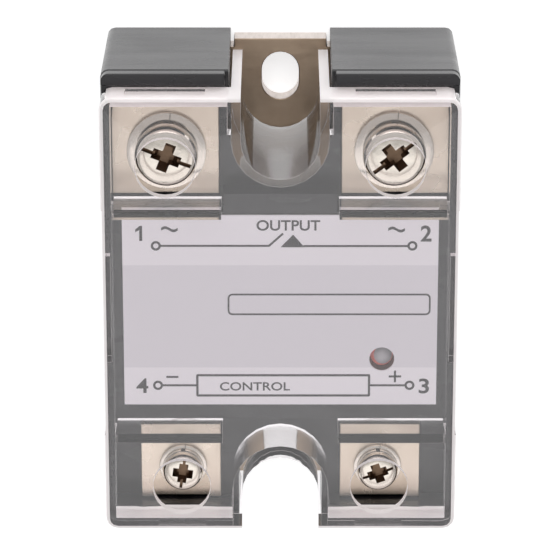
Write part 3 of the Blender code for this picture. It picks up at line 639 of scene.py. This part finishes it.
def run_tree(name, tree, **values):
    """Run a geometry tree with these inputs, and keep the result as a plain mesh."""
    item = bpy.data.objects.new(name, bpy.data.meshes.new(name))
    bpy.context.scene.collection.objects.link(item)
    change = item.modifiers.new("tree", "NODES")
    change.node_group = tree
    for socket in tree.interface.items_tree:
        if socket.in_out == "INPUT" and socket.name in values:
            change[socket.identifier] = values[socket.name]
    return settle(item)


def moved(item, where, turn=0.0):
    """Turn a mesh about Z and move it, in millimetres, leaving its object at the origin."""
    item.data.transform(Matrix.Translation(Vector(where) * MM) @ Matrix.Rotation(turn, 4, "Z"))
    return item


def cleaned(item, smooth=40, width=0.0):
    """Merge a mesh's doubles, point its faces outwards and round its sharp edges."""
    bm = bmesh.new()
    bm.from_mesh(item.data)
    bmesh.ops.remove_doubles(bm, verts=bm.verts, dist=1e-7)
    bmesh.ops.recalc_face_normals(bm, faces=bm.faces)
    bm.to_mesh(item.data)
    bm.free()
    if width:
        rounding = item.modifiers.new("rounding", "BEVEL")
        rounding.width = width * MM
        rounding.segments = 2
        rounding.limit_method = "ANGLE"
        rounding.angle_limit = math.radians(50)
        settle(item)
    item.data.shade_smooth()
    item.data.set_sharp_from_angle(angle=math.radians(smooth))
    return item


class RELAY_OT_washers(RelayPiece, bpy.types.Operator):
    """Bend the flat and the split spring washers"""

    bl_idname = "relay.washers"
    bl_label = "Washers"

    def execute(self, context):
        tree = ring_tree()
        surface = bright_nickel(self.colour("screw"))
        closed, split = 1.0, 0.97
        for number, size in SCREW_SIZES.items():
            for kind, turns in (("flat_washer", closed), ("spring_washer", split)):
                node = f"{kind}_{number}"
                low, high = box_of(node)
                outer = (high.x - low.x) / 2
                thickness = high.z - low.z
                rise = 0.0 if turns == closed else thickness * 0.2
                washer = run_tree(f"{kind}_ring_{number}", tree, Turns=turns,
                                  Radius=(outer + size.hole) / 2 * MM, Rise=rise * MM,
                                  Width=(outer - size.hole) * MM,
                                  Thickness=(thickness - rise) * MM, Steps=96, Finish=surface)
                built = (washer.bound_box[6][2] - washer.bound_box[0][2]) / MM
                if built > thickness + 0.05:
                    raise RuntimeError(f"{node} is {built:.2f} mm thick")
                middle = self.axis_at(number, (low.z + high.z - rise) / 2)
                moved(washer, middle, math.radians(84))
                stand_for(cleaned(washer, width=0.07), node)
        return {"FINISHED"}

    def axis_at(self, number, height):
        """The point on a terminal screw's axis at a height, in millimetres."""
        low, high = box_of(f"terminal_screw_{number}")
        return (low.x + high.x) / 2, (low.y + high.y) / 2, height


# ================================================================== screws
def recess_cutter(name, arm, size, surface):
    """One arm of a punched recess: a block that narrows towards its foot."""
    length, width, angle, deep = arm
    depth = size.height * 0.78 * (1.0 if deep else 0.45)
    block = bmesh.new()
    bmesh.ops.create_cube(block, size=1)
    for vert in block.verts:
        foot = vert.co.z < 0
        vert.co.x *= length * (0.45 if foot and deep else 1.0)
        vert.co.y *= width * (0.7 if foot else 1.0)
        vert.co.z = -depth if foot else 1.0
    turn = Matrix.Rotation(math.radians(angle), 4, "Z")
    crown = Matrix.Translation((0, 0, size.height))
    bmesh.ops.transform(block, matrix=crown @ turn, verts=block.verts)
    bmesh.ops.scale(block, vec=(MM, MM, MM), verts=block.verts)
    bmesh.ops.recalc_face_normals(block, faces=block.faces)
    return show(name, block, surface)


def pan_head(size, length):
    """The outline of a pan-head screw, from the middle of its crown down to its point."""
    head, height = size.head, size.height
    shoulder = height * 0.62
    root = size.shank * 0.86
    crown = [(0, height), (head * 0.62, height - 0.03)]
    bend = [(head - shoulder * 0.55 + shoulder * 0.55 * math.sin(math.radians(turn)),
             height - 0.1 - shoulder + shoulder * math.cos(math.radians(turn)))
            for turn in range(0, 91, 15)]
    flank = [(head, 0.12), (head - 0.12, 0.0), (root, 0.0)]
    point = [(root, 0.6 - length), (size.shank * 0.55, -length), (0, -length)]
    return crown + bend + flank + point


def rolled_thread(name, tree, size, length, surface):
    """A thread wound down a screw's shank, which ends short of its head and its point."""
    turns = (length - 1.2) / size.pitch
    thread = run_tree(name, tree, Turns=turns, Radius=size.shank * 0.9 * MM,
                      Rise=turns * size.pitch * MM, Width=size.shank * 0.2 * MM,
                      Thickness=size.pitch * 0.45 * MM, Steps=28, Finish=surface)
    return moved(cleaned(thread), (0, 0, 0.4 - length))


class RELAY_OT_screws(RelayPiece, bpy.types.Operator):
    """Turn the four pan-head screws, punch their recesses and roll their threads"""

    bl_idname = "relay.screws"
    bl_label = "Terminal screws"

    def execute(self, context):
        tree = ring_tree()
        surface = bright_nickel(self.colour("screw"))
        dull = recess_nickel("6e5b4b")
        for number, angle in SCREW_TURNS.items():
            size = SCREW_SIZES[number]
            low, high = box_of(f"terminal_screw_{number}")
            seat = high.z - size.height
            length = seat - low.z
            screw = show(f"pan_head_screw_{number}", lathe(pan_head(size, length)), surface, dull)
            self.punch(screw, size, angle, dull)
            cleaned(screw, smooth=35)
            thread = rolled_thread(f"thread_{number}", tree, size, length, surface)
            joined = bmesh.new()
            joined.from_mesh(screw.data)
            joined.from_mesh(thread.data)
            joined.to_mesh(screw.data)
            joined.free()
            bpy.data.objects.remove(thread, do_unlink=True)
            moved(screw, ((low.x + high.x) / 2, (low.y + high.y) / 2, seat))
            stand_for(screw, f"terminal_screw_{number}")
        return {"FINISHED"}

    def punch(self, screw, size, angle, surface):
        """Cut the cross, the funnel between its arms and the slot into a screw's crown."""
        arms = [(size.span, size.cross, angle, True), (size.span, size.cross, angle + 90, True),
                (size.span * 0.5, size.span * 0.5, angle + 45, True),
                (size.reach, size.slot, angle, False)]
        tools = [recess_cutter(f"{screw.name}_recess_{place}", arm, size, surface)
                 for place, arm in enumerate(arms)]
        for tool in tools:
            change = screw.modifiers.new(tool.name, "BOOLEAN")
            change.operation = "DIFFERENCE"
            change.object = tool
            change.solver = "EXACT"
            change.material_mode = "TRANSFER"
        settle(screw)
        for tool in tools:
            bpy.data.objects.remove(tool, do_unlink=True)


# ================================================================== label
def flat_shape(loops):
    """A flat filled outline, in millimetres: the first loop is the edge, the rest are holes."""
    curve = bpy.data.curves.new("shape", "CURVE")
    curve.dimensions = "2D"
    curve.fill_mode = "BOTH"
    for loop in loops:
        spline = curve.splines.new("POLY")
        spline.points.add(len(loop) - 1)
        for point, spot in zip(spline.points, loop):
            point.co = (*spot, 0, 1)
        spline.use_cyclic_u = True
    return curve


def curve_faces(curve):
    """A curve's or a text's flat faces as a mesh. The curve is removed."""
    holder = bpy.data.objects.new("holder", curve)
    bpy.context.scene.collection.objects.link(holder)
    graph = bpy.context.evaluated_depsgraph_get()
    mesh = bpy.data.meshes.new_from_object(holder.evaluated_get(graph))
    bpy.data.objects.remove(holder, do_unlink=True)
    bpy.data.curves.remove(curve)
    return mesh


def words(text, centre, width, height, weight=0.0):
    """Lettering fitted to a width and height round its centre."""
    font = bpy.data.curves.new("words", "FONT")
    font.body = text
    font.size = height
    font.offset = weight
    mesh = curve_faces(font)
    xs = [vert.co.x for vert in mesh.vertices]
    ys = [vert.co.y for vert in mesh.vertices]
    middle = Vector(((min(xs) + max(xs)) / 2, (min(ys) + max(ys)) / 2, 0))
    size = (width / (max(xs) - min(xs)), height / (max(ys) - min(ys)), 1)
    mesh.transform(Matrix.Translation((*centre, 0)) @ Matrix.Diagonal((*size, 1))
                   @ Matrix.Translation(-middle))
    return mesh


def arc_points(centre, radius, start, end, steps):
    """Points along an arc, from one angle to another in degrees."""
    turns = [math.radians(start + (end - start) * step / steps) for step in range(steps + 1)]
    return [(centre[0] + radius * math.cos(turn), centre[1] + radius * math.sin(turn)) for turn in turns]


def line(start, end, width):
    """A straight printed line."""
    run = Vector(end) - Vector(start)
    side = Vector((-run.y, run.x)).normalized() * width / 2
    first, second = Vector(start), Vector(end)
    return curve_faces(flat_shape([[first + side, second + side, second - side, first - side]]))


def ring(centre, radius, width):
    """A printed circle."""
    return curve_faces(flat_shape([arc_points(centre, radius + width / 2, 0, 360, 32)[:-1],
                                   arc_points(centre, radius - width / 2, 0, 360, 32)[:-1]]))


def box_outline(left, right, low, high, corner):
    """The outline of a box with round corners."""
    points = []
    for x, y, start in ((right - corner, low + corner, -90), (right - corner, high - corner, 0),
                        (left + corner, high - corner, 90), (left + corner, low + corner, 180)):
        points += arc_points((x, y), corner, start, start + 90, 4)
    return points


def box_frame(left, right, low, high, corner, width):
    """A printed frame with round corners."""
    half = width / 2
    outer = box_outline(left - half, right + half, low - half, high + half, corner + half)
    inner = box_outline(left + half, right - half, low + half, high - half, max(corner - half, 0.02))
    return curve_faces(flat_shape([outer, inner]))


def figure_one(centre, width, height, stroke):
    """The figure 1 with its flag, as a filled outline."""
    right = centre[0] + width / 2
    left, low, high = centre[0] - width / 2, centre[1] - height / 2, centre[1] + height / 2
    flag = height * 0.24
    return curve_faces(flat_shape([[
        (right, low), (right, high), (right - stroke * 0.8, high), (left, high - flag),
        (left, high - flag - stroke), (right - stroke, high - stroke * 1.5), (right - stroke, low)]]))


def wave(centre, width, height, thickness):
    """The sign for alternating current: one period of a sine, drawn as a band."""
    steps = 24
    middle = [(centre[0] + width * (step / steps - 0.5),
               centre[1] + height / 2 * math.sin(math.tau * step / steps)) for step in range(steps + 1)]
    half = thickness / 2
    upper = [(x, y + half) for x, y in middle]
    lower = [(x, y - half) for x, y in reversed(middle)]
    return curve_faces(flat_shape([upper + lower]))


# The radius of the circuit's terminal circles, in millimetres.
NODE_RADIUS = 0.49


def output_print(width):
    """The switch symbol, signs, numbers and word at the output end."""
    level, foot = 8.12, 7.94
    return [
        figure_one((-17.91, 9.78), width=0.86, height=2.0, stroke=0.36),
        words("2", (18.44, 9.77), width=1.36, height=2.14, weight=0.04),
        wave((-14.03, 10.34), width=2.1, height=0.42, thickness=0.36),
        wave((14.7, 10.3), width=2.1, height=0.42, thickness=0.36),
        ring((-15.77, level), NODE_RADIUS, width * 1.12),
        ring((16.73, level), NODE_RADIUS, width * 1.12),
        line((-15.2, level), (-1.42, level), width),
        line((-1.46, level - 0.02), (0.34, 9.76), width),
        curve_faces(flat_shape([[(0.04, foot), (3.06, foot), (1.62, 9.61)]])),
        line((2.95, level - 0.03), (16.2, level - 0.03), width),
        words("OUTPUT", (1.02, 10.85), width=8.06, height=1.4, weight=0.02),
    ]


def control_print(width):
    """The control input's box, signs, numbers and word."""
    level, minus_level, plus_level, plus_arm = -10.8, -9.65, -9.58, 0.8
    return [
        words("4", (-17.72, -10.85), width=1.5, height=2.0, weight=0.035),
        words("3", (18.43, -10.9), width=1.3, height=2.05, weight=0.035),
        ring((-15.71, level), NODE_RADIUS, width * 1.12),
        ring((16.59, level), NODE_RADIUS, width * 1.12),
        line((-14.63, minus_level), (-13.08, minus_level), width),
        line((14.72 - plus_arm, plus_level), (14.72 + plus_arm, plus_level), width),
        line((14.72, plus_level - plus_arm), (14.72, plus_level + plus_arm), width),
        line((-15.1, level), (-10.72, level), width),
        line((11.5, level), (16.0, level), width),
        box_frame(-10.66, 11.4, -12.2, -9.42, 0.04, width * 1.1),
        words("CONTROL", (-3.26, -10.95), width=9.0, height=1.15, weight=0.014),
    ]


def thicken(mesh, height):
    """Give one flat printed shape its thickness, in millimetres, as a closed body."""
    bm = bmesh.new()
    bm.from_mesh(mesh)
    bmesh.ops.remove_doubles(bm, verts=bm.verts, dist=0.001)
    raised = bmesh.ops.extrude_face_region(bm, geom=bm.faces[:])["geom"]
    lifted = [part for part in raised if isinstance(part, bmesh.types.BMVert)]
    bmesh.ops.translate(bm, vec=(0, 0, height), verts=lifted)
    bmesh.ops.recalc_face_normals(bm, faces=bm.faces)
    bm.to_mesh(mesh)
    bm.free()


class RELAY_OT_label(RelayPiece, bpy.types.Operator):
    """Finish the label film and print its lines, signs and words"""

    bl_idname = "relay.label"
    bl_label = "Label"

    def execute(self, context):
        paint("label_plate", label_film(self.colour("label"), "eae7ed"))
        ink_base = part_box("label_plate")[1][2] + 0.005 * MM
        width = self.size("line_width")
        shapes = output_print(width) + control_print(width)
        shapes.append(box_frame(-6.6, 19.02, -1.1, 1.58, 0.5, width * 0.85))
        bm = bmesh.new()
        for shape in shapes:
            thicken(shape, self.size("ink_height"))
            bm.from_mesh(shape)
            bpy.data.meshes.remove(shape)
        bmesh.ops.scale(bm, vec=(MM, MM, MM), verts=bm.verts)
        bmesh.ops.translate(bm, vec=(0, 0, ink_base), verts=bm.verts)
        ink = show("label_print", bm, screen_ink(self.colour("ink")))
        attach(ink, body_of("label_plate"))
        return {"FINISHED"}


# ================================================================== lamp and inside
class RELAY_OT_lamp(RelayPiece, bpy.types.Operator):
    """Cast the status lamp's lens"""

    bl_idname = "relay.lamp"
    bl_label = "Status lamp"

    def execute(self, context):
        low, high = box_of("status_led")
        off_centre = 0.3
        face = ((low.x + high.x) / 2 + off_centre, (low.y + high.y) / 2 + off_centre, high.z)
        epoxy = tinted_epoxy("9b989c", "e8736c", face)
        lamp = rounded_copy("status_led", "lamp_lens", epoxy, 0.08)
        stand_for(lamp, "status_led")
        return {"FINISHED"}


class RELAY_OT_inside(RelayPiece, bpy.types.Operator):
    """Finish the circuit board, the power parts and the inserts"""

    bl_idname = "relay.inside"
    bl_label = "Inside pieces"

    def execute(self, context):
        epoxy = plain_finish("moulded_epoxy_case", "242426", "2e2e31", 0.5, 1.2, 0.01)
        lacquer = plain_finish("resistor_lacquer", "b9a684", "c8b796", 0.4, 0.8, 0.01)
        laminate = plain_finish("glass_epoxy_laminate", "1f5a3c", "2a6b49", 0.45, 0.9, 0.008)
        alumina = plain_finish("sintered_alumina", "ece9e2", "f4f2ec", 0.55, 0.6, 0.006)
        finishes = {
            "circuit_board": laminate,
            "ceramic_insulator": alumina,
            "snubber_capacitor": plain_finish("dipped_film_case", "c0923c", "cda04c", 0.35, 2.0, 0.02),
            "potting_resin": plain_finish("cast_resin", "45413c", "4f4a44", 0.3, 3.0, 0.03),
        }
        for node in ("thyristor_1", "thyristor_2", "optocoupler", "control_ic", "input_diode"):
            finishes[node] = epoxy
        for node in ("snubber_resistor", "gate_resistor_1", "gate_resistor_2"):
            finishes[node] = lacquer
        brass = plain_finish("turned_brass", "b99c5c", "c6aa6b", 0.3, 0.7, 0.008, 1.0)
        for number in SCREW_TURNS:
            finishes[f"threaded_insert_{number}"] = brass
        for node, surface in finishes.items():
            paint(node, surface)
        return {"FINISHED"}


# ================================================================== stage
def area_light(name, where, size, power):
    """A white soft box aimed at the origin; its place and size are in millimetres."""
    lamp = bpy.data.lights.new(name, "AREA")
    lamp.shape = "RECTANGLE"
    lamp.size, lamp.size_y = (side * MM for side in size)
    lamp.energy = power
    item = bpy.data.objects.new(name, lamp)
    item.location = Vector(where) * MM
    item.rotation_euler = (-Vector(where)).to_track_quat("-Z", "Y").to_euler()
    bpy.context.scene.collection.objects.link(item)


def white_floor():
    """A seamless white sweep that glows a little, so that shadows stay faint."""
    made, tree, shader = new_material("white_sweep", "f2f2f2", 0.9)
    tone = tint(tree, noise(tree, 60.0), "f2f2f2", "f4f4f4")
    tree.links.new(tone, shader.inputs["Base Color"])
    shader.inputs["Specular IOR Level"].default_value = 0.0
    shader.inputs["Emission Color"].default_value = linear("ffffff")
    shader.inputs["Emission Strength"].default_value = 0.62
    return made


class RELAY_OT_stage(RelayPiece, bpy.types.Operator):
    """Set the floor, the soft boxes and the camera"""

    bl_idname = "relay.stage"
    bl_label = "Stage"

    def execute(self, context):
        bm = bmesh.new()
        bmesh.ops.create_grid(bm, x_segments=1, y_segments=1, size=3.0)
        show("studio_floor", bm, white_floor())
        world = bpy.data.worlds.new("studio")
        world.use_nodes = True
        back = world.node_tree.nodes["Background"]
        back.inputs["Color"].default_value = linear("ffffff")
        back.inputs["Strength"].default_value = 0.55
        context.scene.world = world
        area_light("back_softbox", (0, -420, 700), (700, 500), 0.85)
        area_light("front_softbox", (0, 500, 450), (500, 400), 1.0)
        self.set_camera(context.scene)
        context.scene.view_settings.view_transform = "Standard"
        return {"FINISHED"}

    def set_camera(self, scene):
        """A long lens above the output end, tilted a little towards the label."""
        tilt = math.radians(19.33)
        distance = 437.0
        target = Vector((-0.04, 0.25, 12.0))
        camera = bpy.data.cameras.new("camera")
        camera.lens = 216
        camera.sensor_width = 36
        camera.clip_start = 0.01
        camera.dof.use_dof = False
        item = bpy.data.objects.new("camera", camera)
        item.location = (target + Vector((0, math.sin(tilt), math.cos(tilt))) * distance) * MM
        item.rotation_euler = (-tilt, 0, 0)
        scene.collection.objects.link(item)
        scene.camera = item


# ================================================================== add-on
OPERATORS = (RELAY_OT_shells, RELAY_OT_terminals, RELAY_OT_washers, RELAY_OT_screws, RELAY_OT_label,
             RELAY_OT_lamp, RELAY_OT_inside, RELAY_OT_cover, RELAY_OT_stage)


class RELAY_PT_sidebar(bpy.types.Panel):
    """Lists the relay's pieces in the sidebar"""

    bl_label = "Solid State Relay"
    bl_idname = "RELAY_PT_sidebar"
    bl_space_type = "VIEW_3D"
    bl_region_type = "UI"
    bl_category = "Relay"

    def draw(self, context):
        for group in (context.scene.relay_sizes, context.scene.relay_colours):
            for name in group.bl_rna.properties.keys():
                if name not in ("rna_type", "name"):
                    self.layout.prop(group, name)
        for operator in OPERATORS:
            self.layout.operator(operator.bl_idname)


def register():
    for item in (RelaySizes, RelayColours, *OPERATORS, RELAY_PT_sidebar):
        bpy.utils.register_class(item)
    bpy.types.Scene.relay_sizes = bpy.props.PointerProperty(type=RelaySizes)
    bpy.types.Scene.relay_colours = bpy.props.PointerProperty(type=RelayColours)


def unregister():
    del bpy.types.Scene.relay_sizes
    del bpy.types.Scene.relay_colours
    for item in (RELAY_PT_sidebar, *reversed(OPERATORS), RelayColours, RelaySizes):
        bpy.utils.unregister_class(item)


def main():
    register()
    for operator in OPERATORS:
        group, name = operator.bl_idname.split(".")
        getattr(getattr(bpy.ops, group), name)()


if __name__ == "__main__":
    main()
